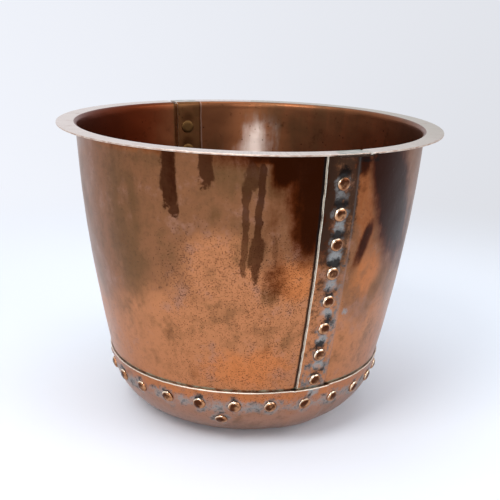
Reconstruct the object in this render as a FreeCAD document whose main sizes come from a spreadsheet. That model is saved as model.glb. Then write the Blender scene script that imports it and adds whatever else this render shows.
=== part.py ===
import FreeCAD, Part
import math
import os

import Sketcher
from FreeCAD import Placement, Rotation, Vector

# Riveted copper cauldron. Two bent wall sheets lap each other at the front and at the back.
# Their feet stand in a dished pan that is riveted round them, and a flange is turned out at
# the rim. Millimetres and degrees, +Z up, origin on the floor under the middle of the pot.
# Azimuths are counted from the front (-Y), anticlockwise seen from above.

# The driving sizes, each with its number.
driving_sizes = [
    ("height", 400),
    ("rim_radius", 260),
    ("wall_top_radius", 235.3),
    ("wall_lean", 3.4),
    ("wall_arc_radius", 1930),
    ("knee_radius", 88),
    ("sheet_thickness", 2),
    ("lap_gap", 0.25),
    ("flange_bend_radius", 4),
    ("wall_foot_height", 52),
    ("pan_edge_height", 85),
    ("front_seam_azimuth", 28),
    ("back_seam_azimuth", 205.7),
    ("raw_edge_reach", 23),
    ("tuck_angle", 4.1),
    ("tuck_clearance_angle", 0.15),
    ("joggle_angle", 1.7),
    ("pan_cover_angle", 0.6),
    ("pan_slope_angle", 1.6),
    ("pan_step_start_height", 2),
    ("shank_radius", 3.5),
    ("shank_clearance", 0.1),
    ("head_radius", 8.8),
    ("head_skirt", 0.6),
    ("head_rise", 4.6),
    ("tail_radius", 10),
    ("tail_thickness", 1.5),
    ("tail_clearance", 0.03),
    ("seam_rivet_drop", 39.5),
    ("seam_rivet_foot_gap", 13.3),
    ("seam_rivet_count", 8),
    ("ring_rivet_height", 63.4),
    ("ring_lap_offset_angle", 2.8),
    ("ring_rivets_per_side", 12),
    ("lone_rivet_azimuth", -8.5),
    ("lone_rivet_height", 39.8),
]

doc = FreeCAD.newDocument("Cauldron")
sizes = doc.addObject("Spreadsheet::Sheet", "Sizes")
for row, (name, number) in enumerate(driving_sizes, start=1):
    sizes.set(f"A{row}", name)
    sizes.set(f"B{row}", str(number))
    sizes.setAlias(f"B{row}", name)
doc.recompute()


def value(expression):
    """What an expression of the sheet's cells comes to."""
    result = sizes.evalExpression(expression)
    return float(getattr(result, "Value", result))


# Expressions that several pieces share. A layer is one sheet with the gap that laps need.
layer_step = "(Sizes.sheet_thickness + Sizes.lap_gap)"
arc_x = "(Sizes.wall_top_radius - Sizes.wall_arc_radius * cos(Sizes.wall_lean))"
arc_z = "(Sizes.height + Sizes.wall_arc_radius * sin(Sizes.wall_lean))"
seam_span = "(Sizes.back_seam_azimuth - Sizes.front_seam_azimuth)"
joggle_start = "(Sizes.tuck_angle + Sizes.tuck_clearance_angle)"
joggle_end = f"({joggle_start} + Sizes.joggle_angle)"

# The azimuths from each seam on to the other one.
seam_spans = {"front": seam_span, "back": f"(360 - {seam_span})"}


def wall_radius(lift):
    """Radius of the arc that is a number of layers outside the wall's own outer face."""
    return f"(Sizes.wall_arc_radius + ({lift}) * {layer_step})"


def knee_x(lift):
    """Distance from the axis to the knee's centre, for a pan that is lifted by some layers."""
    reach = f"({wall_radius(lift)} + {layer_step} - Sizes.knee_radius)"
    return f"({arc_x} + sqrt({reach}^2 - ({arc_z} - Sizes.knee_radius)^2))"


# The knee's outer radius on the wall sheets, which stand inside the pan.
wall_knee_radius = f"(Sizes.knee_radius - {layer_step})"
knee_centre = (knee_x(0), "Sizes.knee_radius")
arc_centre = (arc_x, arc_z)

# The raw edge is straight, so it stands at the widest angle from the rivets at the narrow foot.
foot_depth = "(Sizes.knee_radius - Sizes.wall_foot_height)"
foot_radius = f"({knee_x(0)} + sqrt({wall_knee_radius}^2 - {foot_depth}^2))"
raw_edge_angle = f"(asin(Sizes.raw_edge_reach / {foot_radius}) / 1deg)"
# The lap is made longer than that, and its raw edge is then cut.
lap_start_angle = f"(atan(Sizes.raw_edge_reach / {knee_x(0)}) / 1deg)"

# The pan is made a little too high, with its steps, and then trimmed to its edge.
pan_top = "Sizes.pan_edge_height + 2 * Sizes.sheet_thickness"


def origin_feature(body, role):
    return [f for f in body.Origin.OriginFeatures if f.Role == role][0]


def make_body(name, azimuth=None):
    """A body whose own X axis points to the azimuth, or to the right (+X) without one."""
    body = doc.addObject("PartDesign::Body", name)
    body.Label = name
    body.AllowCompound = True
    if azimuth:
        turn = f"{azimuth} - 90"
        body.Placement = Placement(Vector(), Rotation(Vector(0, 0, 1), value(turn)))
        body.setExpression("Placement.Rotation.Angle", turn)
    return body


def meridian(body, name, angle):
    """An upright plane through the pot's axis, turned from the body's X axis."""
    plane = body.newObject("PartDesign::Plane", name)
    plane.AttachmentSupport = [(origin_feature(body, "XZ_Plane"), "")]
    plane.MapMode = "FlatFace"
    plane.AttachmentOffset = Placement(Vector(), Rotation(Vector(0, 1, 0), value(angle)))
    plane.setExpression("AttachmentOffset.Rotation.Angle", angle)
    return plane


def sketch_on(body, name, plane):
    sketch = body.newObject("Sketcher::SketchObject", name)
    sketch.AttachmentSupport = [(plane, "")]
    sketch.MapMode = "FlatFace"
    return sketch


def aimed_sketch(body, name, plane, centre, drop):
    """A sketch whose origin is a centre in the meridian and whose X axis drops outwards."""
    sketch = sketch_on(body, name, plane)
    base = Vector(value(centre[0]), value(centre[1]), 0)
    sketch.AttachmentOffset = Placement(base, Rotation(Vector(0, 0, -1), value(drop)))
    sketch.setExpression("AttachmentOffset.Base.x", centre[0])
    sketch.setExpression("AttachmentOffset.Base.y", centre[1])
    sketch.setExpression("AttachmentOffset.Rotation.Angle", drop)
    return sketch


def bind(sketch, kind, name, where, expression):
    """A dimension of a sketch, bound to the sheet."""
    index = sketch.addConstraint(Sketcher.Constraint(kind, *where, value(expression)))
    sketch.renameConstraint(index, name)
    sketch.setExpression(f"Constraints.{name}", expression)


def relate(sketch, kind, *where):
    sketch.addConstraint(Sketcher.Constraint(kind, *where))


def line(sketch, start, end):
    return sketch.addGeometry(Part.LineSegment(Vector(*start, 0), Vector(*end, 0)), False)


def arc(sketch, centre, start, end):
    """An arc that runs anticlockwise from start to end."""
    middle = Vector(*centre, 0)
    spokes = [Vector(*point, 0) - middle for point in (start, end)]
    circle = Part.Circle(middle, Vector(0, 0, 1), spokes[0].Length)
    angles = [math.atan2(spoke.y, spoke.x) for spoke in spokes]
    return sketch.addGeometry(Part.ArcOfCircle(circle, *angles), False)


def polygon(sketch, corners):
    """Straight sides between corners, each a pair of expressions. None lies on the axis."""
    points = [tuple(0.0 if c is None else value(c) for c in corner) for corner in corners]
    count = len(points)
    sides = [line(sketch, points[i], points[(i + 1) % count]) for i in range(count)]
    for i in range(count):
        relate(sketch, "Coincident", sides[i], 2, sides[(i + 1) % count], 1)
        for letter, coordinate, axis in (("X", corners[i][0], -2), ("Y", corners[i][1], -1)):
            if coordinate is None:
                relate(sketch, "PointOnObject", sides[i], 1, axis)
            else:
                bind(sketch, f"Distance{letter}", f"corner{i}{letter}", (sides[i], 1), coordinate)


def turned(body, kind, name, sketch, angle, backwards=False, axis="V_Axis"):
    """A revolution or a groove of a sketch."""
    feature = body.newObject(f"PartDesign::{kind}", name)
    feature.Profile = (sketch, [""])
    feature.ReferenceAxis = (sketch, [axis])
    feature.Angle = value(angle)
    feature.setExpression("Angle", angle)
    feature.Reversed = backwards
    body.Tip = feature
    return feature


def lofted(body, name, first, last):
    feature = body.newObject("PartDesign::AdditiveLoft", name)
    feature.Profile = (first, [""])
    feature.Sections = [(last, [""])]
    feature.Ruled = True
    body.Tip = feature
    return feature


def patterned(body, name, original, axis, spacing, count, backwards=False):
    """Copies of a feature at a fixed angle from each other."""
    feature = body.newObject("PartDesign::PolarPattern", name)
    feature.Originals = [original]
    feature.Axis = axis
    feature.Mode = "Spacing"
    feature.Offset = value(spacing)
    feature.setExpression("Offset", spacing)
    feature.Occurrences = int(value(count))
    feature.setExpression("Occurrences", count)
    feature.Reversed = backwards
    body.Tip = feature
    return feature


def arc_point(centre, radius, towards):
    """The point of a circle in the direction of another point."""
    reach = ((towards[0] - centre[0]) ** 2 + (towards[1] - centre[1]) ** 2) ** 0.5
    return tuple(c + radius * (t - c) / reach for c, t in zip(centre, towards))


def level_point(centre, radius, level):
    """The outer point of a circle at a height."""
    return (centre[0] + (radius**2 - (level - centre[1]) ** 2) ** 0.5, level)


def wall_section(body, name, plane, lift):
    """Section of a wall sheet with its foot, wall and flange, lifted by whole layers at a lap.

    The wall leans in along one large arc and tucks in round the knee at its foot."""
    sketch = sketch_on(body, name, plane)
    bend_radius = f"Sizes.flange_bend_radius - ({lift}) * {layer_step}"
    top_height = f"Sizes.height - ({lift}) * {layer_step}"
    thickness = value("Sizes.sheet_thickness")
    wall = value(wall_radius(lift))
    knee = value(wall_knee_radius)
    bend = value(bend_radius)
    top = value(top_height)
    rim = value("Sizes.rim_radius")
    foot = value("Sizes.wall_foot_height")
    big = (value(arc_x), value(arc_z))
    low = (value(knee_x(lift)), value("Sizes.knee_radius"))
    bend_z = top - thickness - bend
    turn = (big[0] + ((wall + bend) ** 2 - (big[1] - bend_z) ** 2) ** 0.5, bend_z)
    knee_out, knee_in = (arc_point(big, wall - t, low) for t in (0, thickness))
    bend_out, bend_in = (arc_point(big, wall - t, turn) for t in (0, thickness))
    foot_out = level_point(low, knee, foot)
    foot_in = level_point(low, knee - thickness, foot)

    outer_knee = arc(sketch, low, foot_out, knee_out)
    outer_wall = arc(sketch, big, knee_out, bend_out)
    under_bend = arc(sketch, turn, (turn[0], top - thickness), bend_out)
    under_flange = line(sketch, (turn[0], top - thickness), (rim, top - thickness))
    edge = line(sketch, (rim, top - thickness), (rim, top))
    over_flange = line(sketch, (rim, top), (turn[0], top))
    over_bend = arc(sketch, turn, (turn[0], top), bend_in)
    inner_wall = arc(sketch, big, knee_in, bend_in)
    inner_knee = arc(sketch, low, foot_in, knee_in)
    foot_line = line(sketch, foot_in, foot_out)

    relate(sketch, "Tangent", outer_knee, 2, outer_wall, 1)
    relate(sketch, "Tangent", outer_wall, 2, under_bend, 2)
    relate(sketch, "Tangent", under_bend, 1, under_flange, 1)
    relate(sketch, "Coincident", under_flange, 2, edge, 1)
    relate(sketch, "Coincident", edge, 2, over_flange, 1)
    relate(sketch, "Tangent", over_flange, 2, over_bend, 1)
    relate(sketch, "Tangent", over_bend, 2, inner_wall, 2)
    relate(sketch, "Tangent", inner_wall, 1, inner_knee, 2)
    relate(sketch, "Coincident", inner_knee, 1, foot_line, 1)
    relate(sketch, "Coincident", foot_line, 2, outer_knee, 1)
    for level in (under_flange, over_flange, foot_line):
        relate(sketch, "Horizontal", level)
    relate(sketch, "Vertical", edge)
    relate(sketch, "Coincident", inner_knee, 3, outer_knee, 3)
    relate(sketch, "Coincident", inner_wall, 3, outer_wall, 3)
    relate(sketch, "Coincident", over_bend, 3, under_bend, 3)
    bind(sketch, "DistanceX", "arc_x", (outer_wall, 3), arc_x)
    bind(sketch, "DistanceY", "arc_z", (outer_wall, 3), arc_z)
    bind(sketch, "DistanceY", "knee_z", (outer_knee, 3), "Sizes.knee_radius")
    bind(sketch, "Radius", "knee_radius", (outer_knee,), wall_knee_radius)
    bind(sketch, "Radius", "outer_radius", (outer_wall,), wall_radius(lift))
    bind(sketch, "Radius", "inner_radius", (inner_wall,), f"{wall_radius(lift)} - Sizes.sheet_thickness")
    bind(sketch, "Radius", "bend_radius", (under_bend,), bend_radius)
    bind(sketch, "DistanceX", "rim", (edge, 2), "Sizes.rim_radius")
    bind(sketch, "DistanceY", "top", (edge, 2), top_height)
    bind(sketch, "DistanceY", "foot", (foot_line, 1), "Sizes.wall_foot_height")
    return sketch


def rivet_bore(body, name, plane, centre, drop, span):
    """The cutter of a rivet hole, turned about its own axis between two distances."""
    sketch = aimed_sketch(body, f"{name}_sketch", plane, centre, drop)
    bore = "Sizes.shank_radius + Sizes.shank_clearance"
    low, high = span
    polygon(sketch, [(low, None), (high, None), (high, bore), (low, bore)])
    hole = turned(body, "Groove", name, sketch, "360", axis="H_Axis")
    return sketch, hole


# The rivets of a seam lie evenly on the wall's arc, from below the flange to above the pan's
# edge, and point to the arc's centre.
first_seam_depth = f"({arc_z} - Sizes.height + Sizes.seam_rivet_drop)"
last_seam_depth = f"({arc_z} - Sizes.pan_edge_height - Sizes.seam_rivet_foot_gap)"
first_seam_drop = f"asin({first_seam_depth} / Sizes.wall_arc_radius) / 1deg"
last_seam_drop = f"asin({last_seam_depth} / Sizes.wall_arc_radius) / 1deg"
seam_pitch_angle = f"({last_seam_drop} - {first_seam_drop}) / (Sizes.seam_rivet_count - 1)"
seam_bore_span = (wall_radius(-2), wall_radius(2))

# The rivets round the foot point to the knee's centre.
ring_drop = "asin((Sizes.knee_radius - Sizes.ring_rivet_height) / Sizes.knee_radius) / 1deg"
lone_drop = "asin((Sizes.knee_radius - Sizes.lone_rivet_height) / Sizes.knee_radius) / 1deg"
ring_bore_span = (f"Sizes.knee_radius - 4 * {layer_step}", f"Sizes.knee_radius + 2 * {layer_step}")


def wall_sheet(name, azimuth, span):
    """Half of the wall. It starts over the other sheet at its own seam and ends under it at
    the other seam, so the two sheets follow each other round the pot."""
    body = make_body(name, azimuth)
    lap = meridian(body, f"{name}_lap_plane", joggle_start)
    plain = meridian(body, f"{name}_plain_plane", joggle_end)
    tucked = meridian(body, f"{name}_tucked_plane", span)
    lap_section = wall_section(body, f"{name}_lap_section", lap, "1")
    plain_section = wall_section(body, f"{name}_plain_section", plain, "0")
    sweep = f"{span} + Sizes.tuck_angle - {joggle_end}"
    turned(body, "Revolution", f"{name}_wall", plain_section, sweep)
    lofted(body, f"{name}_joggle", lap_section, plain_section)
    lap_sweep = f"{joggle_start} + {lap_start_angle}"
    turned(body, "Revolution", f"{name}_lap", lap_section, lap_sweep, backwards=True)

    trim = sketch_on(body, f"{name}_trim_sketch", origin_feature(body, "XY_Plane"))
    near = "-Sizes.raw_edge_reach"
    far = "-Sizes.rim_radius"
    reach = "2 * Sizes.rim_radius"
    polygon(trim, [(None, far), (reach, far), (reach, near), (None, near)])
    cut = body.newObject("PartDesign::Pocket", f"{name}_raw_edge")
    cut.Profile = (trim, [""])
    cut.SideType = "Symmetric"
    through = "3 * Sizes.height"
    cut.Length = value(through)
    cut.setExpression("Length", through)
    body.Tip = cut

    for end, plane in (("lap", origin_feature(body, "XZ_Plane")), ("tucked", tucked)):
        sketch, hole = rivet_bore(body, f"{name}_{end}_hole", plane, arc_centre,
                                  first_seam_drop, seam_bore_span)
        patterned(body, f"{name}_{end}_holes", hole, (sketch, ["N_Axis"]), seam_pitch_angle,
                  "Sizes.seam_rivet_count", backwards=True)
    ring = meridian(body, f"{name}_ring_plane", "-Sizes.ring_lap_offset_angle")
    sketch, hole = rivet_bore(body, f"{name}_foot_hole", ring, knee_centre, ring_drop, ring_bore_span)
    patterned(body, f"{name}_foot_holes", hole, (origin_feature(body, "Z_Axis"), [""]),
              f"{span} / (Sizes.ring_rivets_per_side + 1)", "Sizes.ring_rivets_per_side + 2")
    return body


def pan_section(body, name, plane):
    """Section of the pan from its middle to above its edge, which is trimmed level later."""
    sketch = sketch_on(body, name, plane)
    thickness = value("Sizes.sheet_thickness")
    wall = value(f"{wall_radius(0)} + {layer_step}")
    knee = value("Sizes.knee_radius")
    over = value(pan_top)
    big = (value(arc_x), value(arc_z))
    low = (value(knee_x(0)), knee)
    knee_out, knee_in = (arc_point(big, wall - t, low) for t in (0, thickness))
    top_out = level_point(big, wall, over)
    top_in = level_point(big, wall - thickness, over)
    underside = line(sketch, (0, 0), (low[0], 0))
    outer_knee = arc(sketch, low, (low[0], 0), knee_out)
    outer_wall = arc(sketch, big, knee_out, top_out)
    top = line(sketch, top_out, top_in)
    inner_wall = arc(sketch, big, knee_in, top_in)
    inner_knee = arc(sketch, low, (low[0], thickness), knee_in)
    floor = line(sketch, (low[0], thickness), (0, thickness))
    middle = line(sketch, (0, thickness), (0, 0))
    relate(sketch, "Tangent", underside, 2, outer_knee, 1)
    relate(sketch, "Tangent", outer_knee, 2, outer_wall, 1)
    relate(sketch, "Coincident", outer_wall, 2, top, 1)
    relate(sketch, "Coincident", top, 2, inner_wall, 2)
    relate(sketch, "Tangent", inner_wall, 1, inner_knee, 2)
    relate(sketch, "Tangent", inner_knee, 1, floor, 1)
    relate(sketch, "Coincident", floor, 2, middle, 1)
    relate(sketch, "Coincident", middle, 2, underside, 1)
    for level in (underside, top, floor):
        relate(sketch, "Horizontal", level)
    relate(sketch, "Vertical", middle)
    relate(sketch, "Coincident", underside, 1, -1, 1)
    relate(sketch, "Coincident", inner_knee, 3, outer_knee, 3)
    relate(sketch, "Coincident", inner_wall, 3, outer_wall, 3)
    bind(sketch, "DistanceX", "arc_x", (outer_wall, 3), arc_x)
    bind(sketch, "DistanceY", "arc_z", (outer_wall, 3), arc_z)
    bind(sketch, "Radius", "outer_radius", (outer_wall,), f"{wall_radius(0)} + {layer_step}")
    bind(sketch, "Radius", "inner_radius", (inner_wall,), f"{wall_radius(0)} + Sizes.lap_gap")
    bind(sketch, "Radius", "knee_radius", (outer_knee,), "Sizes.knee_radius")
    bind(sketch, "DistanceY", "top", (top, 1), pan_top)
    return sketch


def step_section(body, name, plane, lift, depth, inside):
    """Section of a step of the pan over a lap. Its front is some depth behind the pan's outer
    face once that is lifted, and its back is at a depth behind the face as it lies elsewhere."""
    sketch = sketch_on(body, name, plane)
    start_height = "Sizes.pan_step_start_height + Sizes.sheet_thickness"
    front_wall = f"{wall_radius(lift)} + {layer_step} - ({depth})"
    front_knee = f"Sizes.knee_radius - ({depth})"
    back_wall = f"{wall_radius(0)} + {layer_step} - ({inside})"
    back_knee = f"Sizes.knee_radius - ({inside})"
    over = value(pan_top)
    start = value(start_height)
    big = (value(arc_x), value(arc_z))
    lifted = (value(knee_x(lift)), value("Sizes.knee_radius"))
    plain = (value(knee_x(0)), value("Sizes.knee_radius"))
    knee_out = arc_point(big, value(front_wall), lifted)
    top_out = level_point(big, value(front_wall), over)
    base_out = level_point(lifted, value(front_knee), start)
    knee_in = arc_point(big, value(back_wall), plain)
    top_in = level_point(big, value(back_wall), over)
    base_in = level_point(plain, value(back_knee), start)
    outer_knee = arc(sketch, lifted, base_out, knee_out)
    outer_wall = arc(sketch, big, knee_out, top_out)
    top = line(sketch, top_out, top_in)
    inner_wall = arc(sketch, big, knee_in, top_in)
    inner_knee = arc(sketch, plain, base_in, knee_in)
    bottom = line(sketch, base_in, base_out)
    relate(sketch, "Tangent", outer_knee, 2, outer_wall, 1)
    relate(sketch, "Coincident", outer_wall, 2, top, 1)
    relate(sketch, "Coincident", top, 2, inner_wall, 2)
    relate(sketch, "Tangent", inner_wall, 1, inner_knee, 2)
    relate(sketch, "Coincident", inner_knee, 1, bottom, 1)
    relate(sketch, "Coincident", bottom, 2, outer_knee, 1)
    relate(sketch, "Horizontal", top)
    relate(sketch, "Horizontal", bottom)
    relate(sketch, "Coincident", inner_wall, 3, outer_wall, 3)
    bind(sketch, "DistanceX", "arc_x", (outer_wall, 3), arc_x)
    bind(sketch, "DistanceY", "arc_z", (outer_wall, 3), arc_z)
    bind(sketch, "DistanceY", "knee_z", (outer_knee, 3), "Sizes.knee_radius")
    bind(sketch, "DistanceY", "back_knee_z", (inner_knee, 3), "Sizes.knee_radius")
    bind(sketch, "Radius", "front_wall", (outer_wall,), front_wall)
    bind(sketch, "Radius", "front_knee", (outer_knee,), front_knee)
    bind(sketch, "Radius", "back_wall", (inner_wall,), back_wall)
    bind(sketch, "Radius", "back_knee", (inner_knee,), back_knee)
    bind(sketch, "DistanceY", "top", (top, 1), pan_top)
    bind(sketch, "DistanceY", "start", (bottom, 2), start_height)
    return sketch


def base_pan():
    """The dished pan. Over each lap its side is hammered out by one layer, with a slope on
    either hand, and hollowed behind by as much."""
    body = make_body("base_pan")
    round_section = pan_section(body, "pan_section", origin_feature(body, "XZ_Plane"))
    turned(body, "Revolution", "pan_bowl", round_section, "360")
    middle = "Sizes.sheet_thickness / 2"
    behind = "1.5 * Sizes.sheet_thickness"
    left = f"({raw_edge_angle} + Sizes.pan_cover_angle)"
    right = f"({joggle_end} + Sizes.pan_cover_angle)"
    for seam in ("front", "back"):
        line_up = f"Sizes.{seam}_seam_azimuth - 90"
        places = {
            "left_foot": f"{line_up} - {left} - Sizes.pan_slope_angle",
            "left_top": f"{line_up} - {left}",
            "right_top": f"{line_up} + {right}",
            "right_foot": f"{line_up} + {right} + Sizes.pan_slope_angle",
        }
        planes = {key: meridian(body, f"{seam}_{key}_plane", angle) for key, angle in places.items()}
        raised = {}
        for key in ("left_top", "right_top"):
            raised[key] = step_section(body, f"{seam}_{key}_step", planes[key], "1", "0", middle)
        for key in ("left_foot", "right_foot"):
            raised[key] = step_section(body, f"{seam}_{key}_step", planes[key], "0",
                                       "Sizes.lap_gap", middle)
        turned(body, "Revolution", f"{seam}_step", raised["left_top"], f"{left} + {right}")
        lofted(body, f"{seam}_left_slope", raised["left_top"], raised["left_foot"])
        lofted(body, f"{seam}_right_slope", raised["right_top"], raised["right_foot"])
        hollow_start = f"{line_up} - {left} + Sizes.pan_cover_angle / 2"
        hollow_plane = meridian(body, f"{seam}_hollow_plane", hollow_start)
        hollow = step_section(body, f"{seam}_hollow_section", hollow_plane, "1",
                              "Sizes.sheet_thickness", behind)
        turned(body, "Groove", f"{seam}_hollow", hollow, f"{left} + {right} - Sizes.pan_cover_angle")

    trim = sketch_on(body, "pan_trim_section", origin_feature(body, "XZ_Plane"))
    low = "Sizes.pan_edge_height"
    high = f"{pan_top} + Sizes.sheet_thickness"
    wide = "Sizes.rim_radius"
    polygon(trim, [(knee_x(0), low), (wide, low), (wide, high), (knee_x(0), high)])
    turned(body, "Groove", "pan_edge", trim, "360")

    for seam, span in seam_spans.items():
        start = f"Sizes.{seam}_seam_azimuth - 90 - Sizes.ring_lap_offset_angle"
        plane = meridian(body, f"{seam}_ring_plane", start)
        sketch, hole = rivet_bore(body, f"{seam}_ring_hole", plane, knee_centre, ring_drop, ring_bore_span)
        patterned(body, f"{seam}_ring_holes", hole, (origin_feature(body, "Z_Axis"), [""]),
                  f"{span} / (Sizes.ring_rivets_per_side + 1)", "Sizes.ring_rivets_per_side + 1")
    lone = meridian(body, "lone_plane", "Sizes.lone_rivet_azimuth - 90")
    rivet_bore(body, "lone_hole", lone, knee_centre, lone_drop, ring_bore_span)
    return body


def rivet_section(sketch, seat, grip_end):
    """Half of a rivet along the sketch's X axis. Its flat tail rests at the seat, inside, and
    its hammered head rests at the grip's end, outside."""
    tail = f"{seat} - Sizes.tail_thickness"
    crown = f"{grip_end} + Sizes.head_skirt"
    top = f"{grip_end} + Sizes.head_rise"
    outline = [
        (tail, None),
        (tail, "Sizes.tail_radius"),
        (seat, "Sizes.tail_radius"),
        (seat, "Sizes.shank_radius"),
        (grip_end, "Sizes.shank_radius"),
        (grip_end, "Sizes.head_radius"),
        (crown, "Sizes.head_radius"),
    ]
    points = [tuple(0.0 if c is None else value(c) for c in corner) for corner in outline]
    sides = [line(sketch, points[i], points[i + 1]) for i in range(len(points) - 1)]
    rise = value("Sizes.head_rise - Sizes.head_skirt")
    half = value("Sizes.head_radius")
    dome_radius = (rise**2 + half**2) / (2 * rise)
    dome = arc(sketch, (value(top) - dome_radius, 0), (value(top), 0), points[-1])
    axis_line = line(sketch, (value(top), 0), points[0])
    for first, last in zip(sides, sides[1:]):
        relate(sketch, "Coincident", first, 2, last, 1)
    relate(sketch, "Coincident", sides[-1], 2, dome, 2)
    relate(sketch, "Coincident", dome, 1, axis_line, 1)
    relate(sketch, "Coincident", axis_line, 2, sides[0], 1)
    relate(sketch, "PointOnObject", dome, 3, -1)
    relate(sketch, "PointOnObject", dome, 1, -1)
    relate(sketch, "PointOnObject", sides[0], 1, -1)
    bind(sketch, "DistanceX", "top", (dome, 1), top)
    bind(sketch, "DistanceX", "tail", (sides[0], 1), tail)
    for i in range(1, len(outline)):
        side, end = (sides[i], 1) if i < len(sides) else (sides[-1], 2)
        bind(sketch, "DistanceX", f"point{i}x", (side, end), outline[i][0])
        bind(sketch, "DistanceY", f"point{i}y", (side, end), outline[i][1])


def tail_seat(surface, hollow_radius):
    """Where a flat tail rests inside a hollow face: off the face by the hollow's own depth."""
    return f"{surface} - Sizes.tail_radius^2 / (2 * {hollow_radius}) - Sizes.tail_clearance"


def turned_rivet(body, name, plane, centre, drop, seat, grip_end):
    sketch = aimed_sketch(body, f"{name}_sketch", plane, centre, drop)
    rivet_section(sketch, seat, grip_end)
    return sketch, turned(body, "Revolution", name, sketch, "360", axis="H_Axis")


def seam_rivets(name, azimuth):
    body = make_body(name, azimuth)
    narrowest = f"({knee_x(0)} + Sizes.knee_radius)"
    seat = tail_seat("(Sizes.wall_arc_radius - Sizes.sheet_thickness)", narrowest)
    plane = origin_feature(body, "XZ_Plane")
    sketch, rivet = turned_rivet(body, f"{name}_first", plane, arc_centre, first_seam_drop, seat,
                                 wall_radius(1))
    patterned(body, f"{name}_row", rivet, (sketch, ["N_Axis"]), seam_pitch_angle,
              "Sizes.seam_rivet_count", backwards=True)
    return body


def ring_rivets():
    """Rivets round the foot. The two that go through a lap are longer by one layer."""
    body = make_body("base_ring_rivets")
    inner_face = f"({wall_knee_radius} - Sizes.sheet_thickness)"
    seat = tail_seat(inner_face, inner_face)
    lap_shift = f"({knee_x(1)} - {knee_x(0)})"
    lap_face = f"(Sizes.knee_radius + {lap_shift} * cos({ring_drop}))"
    axis = (origin_feature(body, "Z_Axis"), [""])
    for seam, span in seam_spans.items():
        start = f"Sizes.{seam}_seam_azimuth - 90 - Sizes.ring_lap_offset_angle"
        step = f"{span} / (Sizes.ring_rivets_per_side + 1)"
        long_plane = meridian(body, f"{seam}_lap_rivet_plane", start)
        turned_rivet(body, f"{seam}_lap_rivet", long_plane, knee_centre, ring_drop, seat, lap_face)
        plane = meridian(body, f"{seam}_run_plane", f"{start} + {step}")
        sketch, rivet = turned_rivet(body, f"{seam}_run_first", plane, knee_centre, ring_drop, seat,
                                     "Sizes.knee_radius")
        patterned(body, f"{seam}_run", rivet, axis, step, "Sizes.ring_rivets_per_side")
    return body


def lone_rivet():
    body = make_body("lower_pan_rivet")
    inner_face = "(Sizes.knee_radius - Sizes.sheet_thickness)"
    plane = meridian(body, "lone_rivet_plane", "Sizes.lone_rivet_azimuth - 90")
    turned_rivet(body, "lone_rivet", plane, knee_centre, lone_drop, tail_seat(inner_face, inner_face),
                 "Sizes.knee_radius")
    return body


parts = [
    wall_sheet("right_wall_sheet", "Sizes.front_seam_azimuth", seam_spans["front"]),
    wall_sheet("left_wall_sheet", "Sizes.back_seam_azimuth", seam_spans["back"]),
    base_pan(),
    seam_rivets("front_seam_rivets", "Sizes.front_seam_azimuth"),
    seam_rivets("back_seam_rivets", "Sizes.back_seam_azimuth"),
    ring_rivets(),
    lone_rivet(),
]
doc.recompute()

for thing in doc.Objects:
    if any(word in thing.State for word in ("Invalid", "Error")):
        raise RuntimeError(f"{thing.Label} failed: {thing.State}")
os.makedirs("parts", exist_ok=True)
for part in parts:
    shape = part.Shape
    if shape.isNull() or not shape.isValid():
        raise RuntimeError(f"{part.Label} has no valid shape")
    print(part.Label, len(shape.Solids), "solids", round(shape.Volume), "mm3")
    shape.exportStep(f"parts/{part.Label}.step")
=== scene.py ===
import random
from math import asin, atan2, cos, degrees, hypot, pi, radians, sin, sqrt

import bmesh
import bpy
import numpy as np
from mathutils import Matrix, Vector, noise


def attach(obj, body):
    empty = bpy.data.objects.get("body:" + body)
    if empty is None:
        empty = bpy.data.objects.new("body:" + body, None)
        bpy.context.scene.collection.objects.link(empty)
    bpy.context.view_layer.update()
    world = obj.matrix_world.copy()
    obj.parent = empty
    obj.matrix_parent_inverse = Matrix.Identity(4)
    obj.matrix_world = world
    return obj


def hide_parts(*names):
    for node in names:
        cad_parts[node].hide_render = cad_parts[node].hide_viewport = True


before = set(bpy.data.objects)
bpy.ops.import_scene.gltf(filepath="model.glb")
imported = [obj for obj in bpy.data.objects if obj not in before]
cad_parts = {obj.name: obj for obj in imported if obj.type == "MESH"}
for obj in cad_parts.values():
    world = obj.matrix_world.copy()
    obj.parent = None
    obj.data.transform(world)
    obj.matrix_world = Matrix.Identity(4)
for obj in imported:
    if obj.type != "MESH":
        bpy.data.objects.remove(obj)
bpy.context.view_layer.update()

scene = bpy.context.scene

# Riveted copper cauldron, in metres. Azimuths are counted from the front (-Y), anticlockwise
# seen from above, in degrees. A layer is one sheet of copper with the gap that a lap leaves.

pot = {
    "height": 0.400,
    "rimRadius": 0.260,
    "wallTopRadius": 0.2353,
    "wallLean": 3.4,
    "wallArcRadius": 1.930,
    "kneeRadius": 0.088,
    "sheet": 0.002,
    "layer": 0.00225,
    "bendRadius": 0.004,
    "wallFoot": 0.052,
    "panEdge": 0.085,
    "frontSeam": 28.0,
    "backSeam": 205.7,
}
arcX = pot["wallTopRadius"] - pot["wallArcRadius"] * cos(radians(pot["wallLean"]))
arcZ = pot["height"] + pot["wallArcRadius"] * sin(radians(pot["wallLean"]))


def kneeCentre(layers):
    # the knee's centre, for a skin that is some layers outside the wall's own face
    reach = pot["wallArcRadius"] + layers * pot["layer"] + pot["layer"] - pot["kneeRadius"]
    return arcX + sqrt(reach ** 2 - (arcZ - pot["kneeRadius"]) ** 2)


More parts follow.
